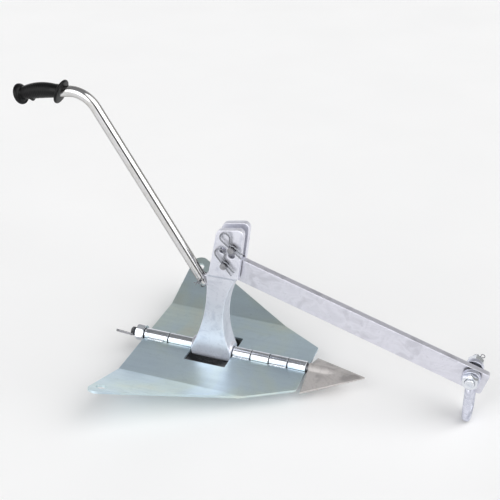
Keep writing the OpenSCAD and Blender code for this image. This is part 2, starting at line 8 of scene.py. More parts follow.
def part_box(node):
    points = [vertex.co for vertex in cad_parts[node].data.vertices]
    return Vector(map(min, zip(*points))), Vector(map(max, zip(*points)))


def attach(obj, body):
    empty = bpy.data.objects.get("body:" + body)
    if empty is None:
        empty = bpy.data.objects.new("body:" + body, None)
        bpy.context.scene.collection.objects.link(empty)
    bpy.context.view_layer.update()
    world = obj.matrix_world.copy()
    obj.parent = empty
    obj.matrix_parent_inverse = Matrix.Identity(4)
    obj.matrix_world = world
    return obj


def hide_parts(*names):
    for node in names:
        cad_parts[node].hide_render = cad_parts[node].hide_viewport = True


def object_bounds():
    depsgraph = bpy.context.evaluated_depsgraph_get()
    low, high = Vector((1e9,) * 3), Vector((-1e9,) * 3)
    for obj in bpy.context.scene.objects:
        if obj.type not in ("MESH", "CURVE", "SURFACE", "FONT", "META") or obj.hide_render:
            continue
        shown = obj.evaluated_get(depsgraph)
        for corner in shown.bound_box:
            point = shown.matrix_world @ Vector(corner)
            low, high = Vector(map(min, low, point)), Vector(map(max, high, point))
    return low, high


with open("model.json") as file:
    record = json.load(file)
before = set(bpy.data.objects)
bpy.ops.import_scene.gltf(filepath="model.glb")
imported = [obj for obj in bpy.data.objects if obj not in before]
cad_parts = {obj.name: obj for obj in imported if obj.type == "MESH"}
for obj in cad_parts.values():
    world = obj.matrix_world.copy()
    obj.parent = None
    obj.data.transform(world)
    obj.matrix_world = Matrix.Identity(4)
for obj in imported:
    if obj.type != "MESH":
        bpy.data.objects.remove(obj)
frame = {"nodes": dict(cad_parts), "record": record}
cad_box = [list(v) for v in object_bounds()]
joints = {j["name"]: j for j in frame["record"]["behaviour"]["joints"]}
HINGE = Vector(joints["nose_spin"]["pos_m"])  # middle of the upright's boss, on the hinge line
SHACKLE = Vector(joints["shackle_swing"]["pos_m"])
LUG = Vector(joints["handle_tilt"]["pos_m"])
MM = 0.001


def lin(r, g, b):
    """A colour given as 0 to 255 in sRGB, in linear light."""
    channels = [c / 255 for c in (r, g, b)]
    return tuple(c / 12.92 if c < 0.0405 else ((c + 0.055) / 1.055) ** 2.4 for c in channels) + (1,)


def scaled(colour, factor):
    return tuple(min(1.0, factor * c) for c in colour[:3]) + (1,)


# ---------- materials ----------

class Nodes:
    """Short ways to add shader nodes to a tree."""

    def __init__(self, tree):
        self.tree = tree
        self.coord = self.node("ShaderNodeTexCoord", {}).outputs["Object"]

    def plug(self, node, inputs):
        for key, value in inputs.items():
            if isinstance(value, bpy.types.NodeSocket):
                self.tree.links.new(value, node.inputs[key])
            else:
                node.inputs[key].default_value = value
        return node

    def node(self, kind, inputs, **props):
        n = self.tree.nodes.new(kind)
        for key, value in props.items():
            setattr(n, key, value)
        return self.plug(n, inputs)

    def noise(self, scale, detail=3.0, stretch=(1, 1, 1), distort=0.0):
        m = self.node("ShaderNodeMapping", {"Vector": self.coord, "Scale": stretch})
        n = self.node("ShaderNodeTexNoise", {"Vector": m.outputs[0], "Scale": scale, "Detail": detail,
                                             "Distortion": distort})
        return n.outputs["Fac"]

    def ramp(self, fac, stops):
        n = self.node("ShaderNodeValToRGB", {"Fac": fac})
        ramp = n.color_ramp
        while len(ramp.elements) < len(stops):
            ramp.elements.new(0.5)
        for e, (at, colour) in zip(ramp.elements, stops):
            e.position = at
            e.color = colour
        return n.outputs["Color"]

    def mix(self, fac, a, b, how="MIX"):
        n = self.node("ShaderNodeMix", {}, data_type="RGBA", blend_type=how)
        return self.plug(n, {0: fac, 6: a, 7: b}).outputs[2]

    def remap(self, value, a0, a1, b0, b1):
        n = self.node("ShaderNodeMapRange", {"Value": value, "From Min": a0, "From Max": a1, "To Min": b0,
                                             "To Max": b1})
        return n.outputs[0]

    def maths(self, a, b, how="ADD"):
        return self.node("ShaderNodeMath", {0: a, 1: b}, operation=how).outputs[0]

    def vector(self, a, b, how):
        return self.node("ShaderNodeVectorMath", {0: a, 1: b}, operation=how)

    def occlusion(self, reach):
        return self.node("ShaderNodeAmbientOcclusion", {"Distance": reach}, samples=8).outputs["AO"]


class Look(Nodes):
    """A Principled material whose colour, roughness and bump come from noise."""

    def __init__(self, name, **sockets):
        self.mat = bpy.data.materials.new(name)
        self.mat.use_nodes = True
        self.mat.node_tree.nodes.clear()
        super().__init__(self.mat.node_tree)
        values = {key.replace("_", " "): value for key, value in sockets.items()}
        self.bsdf = self.node("ShaderNodeBsdfPrincipled", values)
        self.node("ShaderNodeOutputMaterial", {"Surface": self.bsdf.outputs[0]})

    def edges(self, low, high):
        """Where the surface is convex, as on the worn edges of a casting."""
        g = self.node("ShaderNodeNewGeometry", {})
        return self.remap(g.outputs["Pointiness"], low, high, 0.0, 1.0)

    def painted_hollow_shade(self, base, reach, deepest):
        """Darkens a colour in holes and crevices: painted shade, deepest where the surroundings close in
        most.
        """
        open_sky = self.ramp(self.occlusion(reach), [(0.15, (deepest, deepest, deepest, 1)),
                                                     (0.62, (1, 1, 1, 1))])
        return self.mix(1.0, base, open_sky, "MULTIPLY")

    def set(self, key, value):
        self.tree.links.new(value, self.bsdf.inputs[key])

    def bump(self, layers):
        normal = None
        for height, strength, distance in layers:
            inputs = {"Height": height, "Strength": strength, "Distance": distance}
            if normal is not None:
                inputs["Normal"] = normal
            normal = self.node("ShaderNodeBump", inputs).outputs[0]
        self.set("Normal", normal)


def plate_look(name):
    """Rolled steel sheet, zinc plated and blue passivated, with a faint rainbow of yellow and green."""
    m = Look(name, Metallic=0.92, Coat_Weight=0.12, Coat_Roughness=0.25)
    cloud = m.noise(5.5, 4, (1, 1, 1), 0.6)
    base = m.ramp(cloud, [(0.30, lin(202, 220, 232)), (0.46, lin(208, 226, 234)),
                          (0.57, lin(212, 228, 226)), (0.68, lin(220, 227, 216)),
                          (0.82, lin(204, 222, 232))])
    stain = m.noise(38, 5, (1, 1, 1), 1.5)
    base = m.mix(m.remap(stain, 0.55, 0.75, 0.0, 0.2), base, lin(176, 194, 198))
    rolled = m.noise(70, 3, (0.05, 1, 1))
    base = m.mix(m.remap(rolled, 0.3, 0.7, 0.0, 0.16), base, lin(166, 184, 196))
    specks = m.noise(420, 2)
    base = m.mix(m.remap(specks, 0.66, 0.74, 0.0, 0.35), base, lin(96, 110, 116))
    # Painted shade darkens the sheet's colour in holes and crevices.
    m.set("Base Color", m.painted_hollow_shade(base, 0.02, 0.25))
    m.set("Roughness", m.remap(m.maths(stain, rolled), 0.7, 1.3, 0.34, 0.47))
    m.bump([(cloud, 0.10, 0.003), (rolled, 0.08, 0.0003), (m.noise(900, 2), 0.14, 0.0002)])
    return m.mat


def zinc_look(name, light, dark, rough, grain=1.0, worn=False, metallic=0.9, streaks=0.3, vary=1.0):
    """Zinc on steel: soft mottling, fine drawing lines and small dull spots."""
    m = Look(name, Metallic=metallic)
    mottle = m.noise(30, 5, (1, 1, 1), 0.8)
    between = tuple(0.5 * (a + b) for a, b in zip(light, dark))
    base = m.ramp(mottle, [(0.34, dark), (0.50, light), (0.66, between)])
    lines = m.noise(260, 2, (0.04, 1, 1))
    base = m.mix(m.remap(lines, 0.35, 0.7, 0.0, streaks), base, dark)
    spots = m.noise(300, 3)
    base = m.mix(m.remap(spots, 0.66, 0.74, 0.0, 0.35 * vary), base, scaled(dark, 0.5))
    if worn:
        base = m.mix(m.edges(0.53, 0.60), base, lin(244, 245, 248))
    # Painted shade darkens the zinc's colour in holes and crevices.
    m.set("Base Color", m.painted_hollow_shade(base, 0.012, 0.12))
    m.set("Roughness", m.remap(m.maths(mottle, spots), 0.7, 1.3, rough - 0.07 * vary, rough + 0.09 * vary))
    m.bump([(lines, 0.12 * grain * streaks, 0.0002), (m.noise(520, 3), 0.14 * grain, 0.0003)])
    return m.mat


def cast_look(name, light, dark, rough, metallic, deep):
    """A casting: uneven skin with pits, lighter worn edges and painted shade in the hollows."""
    m = Look(name, Metallic=metallic)
    mottle = m.noise(24, 6, (1, 1, 1), 1.0)
    base = m.ramp(mottle, [(0.30, dark), (0.48, light), (0.60, light), (0.75, dark)])
    fine = m.noise(210, 4)
    base = m.mix(m.remap(fine, 0.55, 0.76, 0.0, 0.28), base, scaled(dark, 0.66))
    base = m.mix(m.edges(0.525, 0.60), base, scaled(light, 1.25))
    # Painted shade darkens the casting's colour in holes and crevices.
    m.set("Base Color", m.painted_hollow_shade(base, 0.018, 0.03))
    m.set("Roughness", m.remap(m.maths(mottle, fine), 0.7, 1.3, rough - 0.08, rough + 0.10))
    pits = m.node("ShaderNodeTexVoronoi", {"Vector": m.coord, "Scale": 330}).outputs["Distance"]
    waves = m.noise(60, 3)
    m.bump([(waves, 0.35, 0.0016 * deep), (fine, 0.30, 0.0007 * deep), (pits, 0.14, 0.0004 * deep)])
    return m.mat


def tube_look(name):
    """Polished plated tube with drawing lines along it; the light and dark lines in its colour are also
    painted streaks of reflection.
    """
    m = Look(name, Metallic=1.0, Specular_Tint=(0.16, 0.15, 0.14, 1))
    along = m.node("ShaderNodeAttribute", {}, attribute_name="around").outputs["Vector"]
    lines = m.node("ShaderNodeTexNoise", {"Vector": along, "Scale": 7.0, "Detail": 3.0}).outputs["Fac"]
    mottle = m.noise(18, 4)
    # Colour in lines along the tube: drawing lines, and painted streaks of reflection.
    base = m.ramp(lines, [(0.30, lin(196, 195, 196)), (0.48, lin(226, 226, 228)),
                          (0.70, lin(210, 208, 202))])
    m.set("Base Color", m.mix(m.remap(mottle, 0.45, 0.7, 0.0, 0.25), base, lin(196, 192, 178)))
    m.set("Roughness", m.remap(lines, 0.3, 0.7, 0.11, 0.17))
    m.bump([(lines, 0.08, 0.0003), (mottle, 0.03, 0.0006)])
    return m.mat


def rubber_look(name):
    """Moulded black rubber, glossy where hands have polished it."""
    m = Look(name, Metallic=0.0, Specular_IOR_Level=0.22)
    mottle = m.noise(45, 4)
    m.set("Base Color", m.ramp(mottle, [(0.3, lin(5, 5, 6)), (0.7, lin(11, 11, 13))]))
    m.set("Roughness", m.remap(mottle, 0.3, 0.7, 0.28, 0.42))
    m.bump([(m.noise(700, 2), 0.22, 0.0003), (mottle, 0.10, 0.0012)])
    return m.mat


SHEET = plate_look("passivated_sheet")
CAST = cast_look("galvanised_casting", lin(228, 229, 238), lin(206, 208, 220), 0.40, 0.80, 0.6)
NOSE = cast_look("bare_grey_casting", lin(194, 190, 188), lin(166, 162, 161), 0.60, 0.60, 0.8)
BAR = zinc_look("galvanised_bar", lin(224, 224, 233), lin(204, 204, 213), 0.36, metallic=0.9)
BRIGHT = zinc_look("bright_zinc", lin(230, 233, 238), lin(206, 212, 221), 0.20, 0.08, metallic=0.97,
                   streaks=0.06, vary=0.25)
PIN = zinc_look("pin_zinc", lin(164, 164, 168), lin(124, 125, 130), 0.26, 0.4)
WIRES = zinc_look("clip_wire", lin(158, 160, 166), lin(120, 122, 128), 0.24, 0.3)
FORGED = zinc_look("forged_zinc", lin(224, 226, 238), lin(176, 180, 194), 0.27, worn=True, metallic=0.95)
DARK = zinc_look("oiled_thread", lin(120, 121, 124), lin(84, 84, 88), 0.38)
WELD = zinc_look("weld_bead", lin(226, 230, 234), lin(178, 186, 196), 0.26, 1.6)
TUBE = tube_look("polished_tube")
RUBBER = rubber_look("black_rubber")


# ---------- mesh helpers ----------

def piece(name, mesh, mat, body, nodes=(), sharp=35.0):
    """Puts a mesh in the scene as a piece that rides on a body and stands for some CAD nodes."""
    mesh.validate()
    mesh.polygons.foreach_set("use_smooth", [True] * len(mesh.polygons))
    mesh.set_sharp_from_angle(angle=math.radians(sharp))
    mesh.materials.clear()
    mesh.materials.append(mat)
    ob = bpy.data.objects.new(name, mesh)
    bpy.context.scene.collection.objects.link(ob)
    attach(ob, body)
    if nodes:
        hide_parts(*nodes)
    return ob


def raw_mesh(name, verts, faces):
    mesh = bpy.data.meshes.new(name)
    mesh.from_pydata([tuple(v) for v in verts], [], faces)
    bm = bmesh.new()
    bm.from_mesh(mesh)
    bmesh.ops.remove_doubles(bm, verts=bm.verts, dist=1e-6)
    bmesh.ops.recalc_face_normals(bm, faces=bm.faces)
    bm.to_mesh(mesh)
    bm.free()
    return mesh


def cad_mesh(node, name):
    """A clean copy of a CAD node's mesh, with its flat faces joined up."""
    mesh = frame["nodes"][node].data.copy()
    mesh.name = name
    bm = bmesh.new()
    bm.from_mesh(mesh)
    bmesh.ops.remove_doubles(bm, verts=bm.verts, dist=2e-6)
    bmesh.ops.dissolve_limit(bm, angle_limit=math.radians(0.5), verts=bm.verts, edges=bm.edges)
    bm.to_mesh(mesh)
    bm.free()
    return mesh


def bevelled(node, name, mat, body, width, segments=2, angle=40.0):
    """A CAD node with its sharp edges rounded."""
    ob = piece(name, cad_mesh(node, name), mat, body, [node])
    m = ob.modifiers.new("rounded_edges", "BEVEL")
    m.width = width * MM
    m.segments = segments
    m.limit_method = "ANGLE"
    m.angle_limit = math.radians(angle)
    m.harden_normals = True
    m.use_clamp_overlap = True
    return ob


def softened(node, name, mat, body, voxel, rounds):
    """A CAD node turned into an even mesh and smoothed, as a casting or forging is."""
    ob = piece(name, cad_mesh(node, name), mat, body, [node], 180.0)
    m = ob.modifiers.new("even_mesh", "REMESH")
    m.mode = "VOXEL"
    m.voxel_size = voxel * MM
    m.use_smooth_shade = True
    s = ob.modifiers.new("soft_edges", "SMOOTH")
    s.factor = 0.5
    s.iterations = rounds
    return ob


def frames(path):
    """The direction and two crossways directions at each point of a path, without twist."""
    n = len(path)
    out = []
    side = None
    for i in range(n):
        d = (path[min(i + 1, n - 1)] - path[max(i - 1, 0)]).normalized()
        if side is None:
            side = d.orthogonal().normalized()
        side = (side - d * side.dot(d)).normalized()
        out.append((d, side, d.cross(side)))
    return out


def swept(path, radius, seg=20, domes=2):
    """Vertices and faces of a round wire along a path. The ends are domed."""
    path = [Vector(p) for p in path]
    rad = radius if callable(radius) else (lambda i: radius)
    axes = frames(path)
    rows = []
    for k in range(domes, 0, -1):
        a = math.pi / 2 * k / (domes + 0.6)
        rows.append((path[0] - axes[0][0] * rad(0) * 0.6 * math.sin(a), axes[0], rad(0) * math.cos(a)))
    for i, p in enumerate(path):
        rows.append((p, axes[i], rad(i)))
    last = len(path) - 1
    for k in range(1, domes + 1):
        a = math.pi / 2 * k / (domes + 0.6)
        rows.append((path[last] + axes[last][0] * rad(last) * 0.6 * math.sin(a), axes[last],
                     rad(last) * math.cos(a)))
    verts = []
    for p, (_, u, v), r in rows:
        for j in range(seg):
            a = 2 * math.pi * j / seg
            verts.append(p + (u * math.cos(a) + v * math.sin(a)) * r)
    return verts, grid_faces(len(rows), seg, True)


def grid_faces(rows, seg, caps):
    faces = []
    for i in range(rows - 1):
        for j in range(seg):
            k = (j + 1) % seg
            faces.append((i * seg + j, i * seg + k, (i + 1) * seg + k, (i + 1) * seg + j))
    if caps:
        faces.append(tuple(range(seg - 1, -1, -1)))
        faces.append(tuple((rows - 1) * seg + j for j in range(seg)))
    return faces


def turned(profile, seg=96, ring=False, thread=None):
    """A shape turned about X from points (x, r). A ring's profile closes on itself. thread is
    (from x, to x, pitch, depth): the surface between them carries a screw thread."""
    if thread:
        x0, x1, pitch, depth = thread
        dense = []
        for (xa, ra), (xb, rb) in zip(profile, profile[1:]):
            on_thread = min(xa, xb) >= x0 and max(xa, xb) <= x1
            steps = max(1, int(abs(xb - xa) / (pitch / 8))) if on_thread else 1
            for s in range(steps):
                dense.append((xa + (xb - xa) * s / steps, ra + (rb - ra) * s / steps))
        profile = dense + [profile[-1]]
    verts = []
    for x, r in profile:
        for j in range(seg):
            a = 2 * math.pi * j / seg
            cut = 0.0
            if thread and x0 <= x <= x1:
                phase = (x / pitch + j / seg) % 1.0
                cut = depth * min(1.0, 2.2 * abs(phase - 0.5))
                cut *= min(1.0, (x - x0) / pitch, (x1 - x) / pitch + 0.05)
            verts.append(Vector((x, (r - cut) * math.cos(a), (r - cut) * math.sin(a))))
    rows = len(profile)
    faces = grid_faces(rows, seg, not ring)
    if ring:
        for j in range(seg):
            k = (j + 1) % seg
            faces.append(((rows - 1) * seg + j, (rows - 1) * seg + k, k, j))
    return verts, faces


def hex_nut(x0, t, af, bore_r, turn, seg=144):
    """A chamfered hexagon along X, with a bore or solid, and flats turned from +Z."""
    flat = af / 2
    cap = 0.96 * flat
    rows = []
    for step in range(6):
        row = []
        for j in range(seg):
            a = 360.0 * j / seg
            hexagon = flat / math.cos(math.radians((a + 30.0) % 60.0 - 30.0))
            drop = (hexagon - cap) * math.tan(math.radians(30))
            x, r = [(x0, cap), (x0 + drop, hexagon), (x0 + t - drop, hexagon), (x0 + t, cap),
                    (x0 + t, bore_r + 0.8), (x0 + t - 0.8, bore_r)][step]
            b = math.radians(a + turn)
            row.append(Vector((x, r * math.cos(b), r * math.sin(b))))
        rows.append(row)
    for x, r in ((x0 + 0.8, bore_r), (x0, bore_r + 0.8)):
        rows.append([Vector((x, r * math.cos(math.radians(360.0 * j / seg + turn)),
                             r * math.sin(math.radians(360.0 * j / seg + turn)))) for j in range(seg)])
    verts = [v for row in rows for v in row]
    faces = grid_faces(len(rows), seg, False)
    last = (len(rows) - 1) * seg
    for j in range(seg):
        k = (j + 1) % seg
        faces.append((last + j, last + k, k, j))
    return verts, faces


def placed(verts, matrix=None, origin=HINGE):
    """Millimetres in a piece's own axes to metres in the frame."""
    m = matrix or Matrix.Identity(4)
    return [origin + (m @ Vector(v)) * MM for v in verts]


def wire_path(steps, arc=7.0):
    """Points of a wire in a plane: each step is a straight length, a bend radius and a turn."""
    p = Vector((0.0, 0.0))
    heading = 0.0
    pts = [p.copy()]
    for length, radius, turn in steps:
        d = Vector((math.cos(heading), math.sin(heading)))
        for k in range(1, 4):
            if length:
                pts.append(p + d * length * k / 3)
        p = p + d * length
        if turn:
            side = math.copysign(1.0, turn)
            centre = p + Vector((-d.y, d.x)) * radius * side
            n = max(3, int(abs(turn) / arc))
            start = p - centre
            for k in range(1, n + 1):
                a = math.radians(turn) * k / n
                pts.append(centre + Vector((start.x * math.cos(a) - start.y * math.sin(a),
                                            start.x * math.sin(a) + start.y * math.cos(a))))
            heading += math.radians(turn)
            p = pts[-1].copy()
    return pts


def turn_y(degrees):
    return Matrix.Rotation(math.radians(degrees), 4, "Y")


# ---------- castings, bar and shackle ----------

softened("upright", "upright_casting", CAST, "upright", 1.25, 5)
softened("nose", "nose_casting", NOSE, "nose", 1.25, 4)
softened("shackle_bow", "shackle_forging", FORGED, "shackle", 0.9, 6)
bevelled("draw_arm", "draw_arm_bar", BAR, "draw_arm", 1.4, 3)
bevelled("upper_stop_pin", "upper_clevis_pin", PIN, "upright", 0.7)
bevelled("lower_pivot_pin", "lower_clevis_pin", PIN, "upright", 0.7)
bevelled("hinge_washer", "hinge_flat_washer", BRIGHT, "nose", 0.4)
bevelled("handle_pin", "handle_cross_pin", PIN, "handle", 0.5)

# ---------- hinge ----------

PIN_R = 9.98  # hinge pin and shackle bolt
KNUCKLES = {side_name: [side_name + place + "_knuckle" for place in ("_rear", "_middle", "_front")]
            for side_name in ("right", "left")}
for node, body in [(n, side_name + "_wing") for side_name, nodes in KNUCKLES.items() for n in nodes]:
    lo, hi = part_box(node)
    x0, x1 = (lo[0] - HINGE.x) / MM + 0.6, (hi[0] - HINGE.x) / MM - 0.6
    r, bore = (hi[2] - lo[2]) / 2 / MM, 10.1
    rounded_end = [(0, bore + 0.5), (0, r - 0.9), (0.35, r - 0.3), (0.9, r), (1.6, r)]
    ring = [(x0 + x, h) for x, h in rounded_end] + [(x1 - x, h) for x, h in reversed(rounded_end)]
    ring += [(x1 - 0.5, bore), (x0 + 0.5, bore)]
    verts, faces = turned(ring, 96, True)
    piece(node + "_tube", raw_mesh(node, placed(verts), faces), BRIGHT, body, [node], 30)

lo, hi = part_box("hinge_pin")
pin_x0, pin_x1 = [(v - HINGE.x) / MM for v in (lo[0], hi[0])]
lo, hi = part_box("hinge_nut")
nut_x0, nut_x1 = [(v - HINGE.x) / MM for v in (lo[0], hi[0])]
spigot_x, spigot_r = pin_x1 - 34, 7.98
verts, faces = turned([(pin_x0, 0.01), (pin_x0, 8.2), (pin_x0 + 1.8, PIN_R), (nut_x0 + 3, PIN_R),
                       (nut_x0 + 4, PIN_R), (spigot_x, PIN_R), (spigot_x, spigot_r), (pin_x1, spigot_r),
                       (pin_x1, 0.01)], 72, False, (pin_x0, nut_x0 + 3, 2.5, 1.3))
piece("hinge_threaded_pin", raw_mesh("hinge_pin", placed(verts), faces), DARK, "nose",
      ["hinge_pin"])
verts, faces = hex_nut(nut_x0, nut_x1 - nut_x0, 30.0, 9.99, 30.0)
piece("hinge_hex_nut", raw_mesh("hinge_nut", placed(verts), faces), BRIGHT, "nose",
      ["hinge_nut"], 25)


def cotter(name, length, d, spread_len, matrix, origin, body, node, seg=14):
    """A split pin of half-thick wire: two legs side by side, an eye, and spread ends."""
    half = d / 4 + 0.02
    r = 1.1 * d
    tip = length + spread_len * math.cos(math.radians(24))
    legs = [(tip, spread_len * math.sin(math.radians(24)) + half), (length + 0.35 * d, half + 0.12 * d),
            (length, half), (length * 0.6, half), (length * 0.3, half)]
    loop = [(-r + r * math.cos(math.radians(a)), r * math.sin(math.radians(a)))
            for a in range(24, 337, 12)]
    path = legs + loop + [(x, -z) for x, z in reversed(legs)]
    verts, faces = swept([(x, 0, z) for x, z in path], d / 4, seg)
    piece(name, raw_mesh(node, placed(verts, matrix, origin), faces), PIN, body, [node], 60)


# The hinge pin's split pin: its two legs are bent back past the pin's end.
side, leg_r, eye_r = 13.5, 1.5, 4.5
bent = [Vector((p.y, side - p.x, 0)) for p in wire_path([(2 * side - 4, 4.0, -90), (34, 0, 0)], 10)]
strand = [p + Vector((0, 0, leg_r + 0.05)) for p in reversed(bent)]
strand += [Vector((0, side + eye_r - eye_r * math.cos(math.radians(a)), eye_r * math.sin(math.radians(a))))
           for a in range(24, 337, 12)]
strand += [Vector((p.x, p.y, -leg_r - 0.05)) for p in bent]
verts, faces = swept(strand, leg_r, 14)
tilt = Matrix.Translation(((pin_x0 + nut_x0) / 2, 0, 0)) @ turn_y(4.5)
piece("hinge_cotter_pin", raw_mesh("hinge_split_pin", placed(verts, tilt), faces), PIN, "nose",
      ["hinge_split_pin"], 60)

# ---------- wings ----------

FOLD_Y = 139.0
FOLD = math.radians(18.6)
BEND_R = 14.0
PLATE_T = 5.0
DROP = 1.5


def arc(cx, cy, r, a0, a1, n):
    return [(cx + r * math.cos(math.radians(a0 + (a1 - a0) * k / n)),
             cy + r * math.sin(math.radians(a0 + (a1 - a0) * k / n))) for k in range(n + 1)]


def folded(x, v):
    """Where a point of the flat sheet's upper face lies once the sheet is bent."""
    t = BEND_R * math.tan(FOLD / 2)
    if v <= FOLD_Y - t:
        return Vector((x, v, -DROP))
    if v >= FOLD_Y + t:
        run = v - FOLD_Y
        return Vector((x, FOLD_Y + run * math.cos(FOLD), run * math.sin(FOLD) - DROP))
    a = (v - FOLD_Y + t) / (2 * t) * FOLD
    return Vector((x, FOLD_Y - t + BEND_R * math.sin(a), BEND_R * (1 - math.cos(a)) - DROP))


def wing_plate(side_name, sign):
    node = side_name + "_wing_plate"
    lo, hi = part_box(node)
    rear, front = [(v - HINGE.x) / MM for v in (lo[0], hi[0])]
    inner, depth, window = 14.4, 58.0, 47.0  # the edge at the knuckles, and the window's size
    rear_w, front_w, corner, eye_r = 308.0, 83.0, 20.0, 11.0
    slope = math.atan((rear_w - front_w) / (front - rear))
    tangent = corner / math.tan((math.pi / 2 - slope) / 2)
    deg = math.degrees(slope)
    outline = [(rear, inner), (-window, inner)]
    outline += arc(-window + 3, depth - 3, 3, 180, 90, 5) + arc(window - 3, depth - 3, 3, 90, 0, 5)
    outline += [(window, inner), (front, inner)]
    outline += arc(front - 4, front_w - 4.3, 4, 0, 90 - deg, 5)
    outline += arc(rear + corner, rear_w - tangent, corner, 90 - deg, 180, 20)
    hole = arc(rear + 22.0, 262.0, eye_r, 0, 348.75, 31)
    bm = bmesh.new()
    for loop in (outline, hole):
        vs = [bm.verts.new((x, y, 0)) for x, y in loop]
        for a, b in zip(vs, vs[1:] + vs[:1]):
            bm.edges.new((a, b))
    bmesh.ops.triangle_fill(bm, use_beauty=True, use_dissolve=False, edges=bm.edges, normal=(0, 0, 1))
    t = BEND_R * math.tan(FOLD / 2)
    for k in range(9):
        geom = list(bm.verts) + list(bm.edges) + list(bm.faces)
        bmesh.ops.bisect_plane(bm, geom=geom, dist=1e-5, plane_co=(0, FOLD_Y - t + 2 * t * k / 8, 0),
                               plane_no=(0, 1, 0))
    bmesh.ops.recalc_face_normals(bm, faces=bm.faces)
    for f in bm.faces:
        if f.normal.z < 0:
            f.normal_flip()
    for v in bm.verts:
        p = folded(v.co.x, v.co.y)
        v.co = HINGE + Vector((p.x, sign * p.y, p.z)) * MM
    if sign < 0:
        bmesh.ops.reverse_faces(bm, faces=bm.faces)
    mesh = bpy.data.meshes.new(node)
    bm.to_mesh(mesh)
    bm.free()
    ob = piece(side_name + "_wing_sheet", mesh, SHEET, side_name + "_wing", [node], 180)
    m = ob.modifiers.new("thickness", "SOLIDIFY")
    m.thickness = PLATE_T * MM
    m.offset = -1.0
    m.use_even_offset = True
    b = ob.modifiers.new("sheared_edges", "BEVEL")
    b.width = 0.8 * MM
    b.segments = 3
    b.limit_method = "ANGLE"
    b.angle_limit = math.radians(50)
    b.harden_normals = True


def weld_beads(side_name, sign):
    """A rippled bead beside each knuckle, where the sheet meets it."""
    verts, faces = [], []
    n, length, ripple_len, end_part = 110, 39.0, 2.6, 0.07
    for i, node in enumerate(KNUCKLES[side_name]):
        lo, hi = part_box(node)
        mid = ((lo[0] + hi[0]) / 2 - HINGE.x) / MM
        path = []
        for k in range(n + 1):
            x = mid - length / 2 + length * k / n
            wob = noise.noise(Vector((x * 0.35, 7.0 * i + sign, 0)))
            path.append(Vector((x, sign * (14.2 + 0.25 * wob), -DROP + 0.1 + 0.15 * wob)))

        def bead(k, i=i):
            t = k / n
            near_end = min(t, 1 - t)
            ends = math.sqrt(max(0.0, 1 - (1 - near_end / end_part) ** 2)) if near_end < end_part else 1
            ripple = abs(math.sin(math.pi * length * t / ripple_len + i))
            return 0.25 + (2.75 + 0.38 * ripple) * ends

        v, f = swept(path, bead, 24, 1)
        off = len(verts)
        verts += v
        faces += [tuple(a + off for a in face) for face in f]
    node = side_name + "_hinge_welds"
    piece(side_name + "_weld_beads", raw_mesh(node, placed(verts), faces), WELD, side_name + "_wing",
          [node], 70)


for side_name, sign in (("right", -1), ("left", 1)):
    wing_plate(side_name, sign)
    weld_beads(side_name, sign)

# ---------- hairpin clips ----------

WIRE = 3.2
clip_axis = {"upper_hairpin_clip": (38.8, "upper_stop_pin", "upper_clip"),
             "lower_hairpin_clip": (51.0, "lower_pivot_pin", "lower_clip")}
for node, (angle, pin, body) in clip_axis.items():
    lo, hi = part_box(pin)
    at = Vector(((lo[0] + hi[0]) / 2, 0, (lo[2] + hi[2]) / 2))
    over = 7.0 + WIRE / 2 + 0.6
    dive, neck_r, loop_r, link = 55.0, 4.0, 10.5, 1.0
    climb = math.radians(90 - dive)
    neck = (Vector((-math.sin(climb), math.cos(climb))) * (over + neck_r)
            - Vector((math.cos(climb), math.sin(climb))) * link)
    foot = neck - Vector((math.sin(math.radians(dive)), math.cos(math.radians(dive)))) * (neck_r + loop_r)
    dive_len = (loop_r - foot.y) / math.sin(math.radians(dive))
    loop_u = foot.x - dive_len * math.cos(math.radians(dive))
    pts = wire_path([(26.0 - loop_u, loop_r, -180 - dive), (dive_len, neck_r, 90),
                     (link, over, -math.degrees(climb)), (17.0, 12.0, 16), (3.2, 0, 0)], 5)
    place = (Matrix.Translation((0, -30.0, 0)) @ turn_y(angle) @ Matrix.Translation((26.0, 0, 0))
             @ Matrix.Rotation(math.radians(90), 4, "X") @ Matrix.Rotation(math.radians(180), 4, "Z"))
    verts, faces = swept([(p.x, p.y, 0) for p in pts], WIRE / 2, 20)
    piece(node + "_wire", raw_mesh(node, placed(verts, place, at), faces), WIRES, body, [node],
          60)

# ---------- shackle bolt, nut and split pin ----------

lo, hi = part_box("shackle_bolt")
bolt_y0, bolt_y1 = lo[1] / MM, hi[1] / MM
lo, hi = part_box("shackle_nut")
snut_y0, snut_y1 = lo[1] / MM, hi[1] / MM
to_y = Matrix.Rotation(math.radians(90), 4, "Z")
head_in = -25.51  # the face of the head that bears on the shackle's ear
verts, faces = turned([(bolt_y0, 0.01), (bolt_y0, 8.6), (bolt_y0 + 0.5, 9.5), (bolt_y0 + 1.6, PIN_R),
                       (snut_y0, PIN_R), (bolt_y1 - 1.6, PIN_R), (bolt_y1, 8.4), (bolt_y1, 0.01)], 72,
                      False, (snut_y0, bolt_y1 - 1.5, 2.5, 1.2))
piece("shackle_bolt_shank", raw_mesh("shackle_bolt", placed(verts, to_y, SHACKLE), faces), BRIGHT, "shackle",
      ["shackle_bolt"])
verts, faces = hex_nut(bolt_y0 + 5.0, head_in - bolt_y0 - 5.0, 30.0, 9.99, 0.0)
piece("shackle_bolt_head", raw_mesh("shackle_head", placed(verts, to_y, SHACKLE), faces), BRIGHT, "shackle",
      (), 25)
verts, faces = hex_nut(snut_y0, snut_y1 - snut_y0, 30.0, 9.99, 0.0)
piece("shackle_hex_nut", raw_mesh("shackle_nut", placed(verts, to_y, SHACKLE), faces), BRIGHT, "shackle",
      ["shackle_nut"], 25)
flip = Matrix.Scale(-1, 4, Vector((1, 0, 0)))
